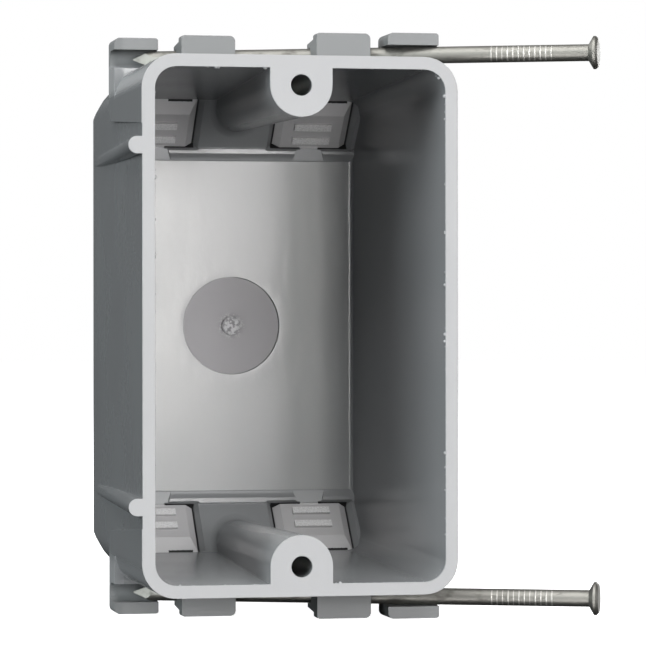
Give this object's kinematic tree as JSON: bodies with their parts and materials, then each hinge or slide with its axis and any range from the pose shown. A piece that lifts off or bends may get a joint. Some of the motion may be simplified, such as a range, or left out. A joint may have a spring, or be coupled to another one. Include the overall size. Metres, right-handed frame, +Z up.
{
  "type": "new work outlet box",
  "caption": "Single-gang plastic outlet box for new construction, with slanted cable-clamp flaps, screw bosses and captive nails in outside guides.",
  "frame": {"origin": "midway between the two device-screw holes, in the plane of the rim", "axes": "+X across the box, away from the stud; +Y from the rim into the wall; +Z up"},
  "size_m": [0.0857, 0.073, 0.1044],
  "materials": {
    "grey_pvc": "smooth moulded grey PVC, glossy on the walls and duller on the rim",
    "nail_steel": "bright uncoated drawn wire"
  },
  "bodies": {
    "root": {"box": "grey_pvc", "upper_nail": "nail_steel", "lower_nail": "nail_steel"}
  },
  "joints": []
}
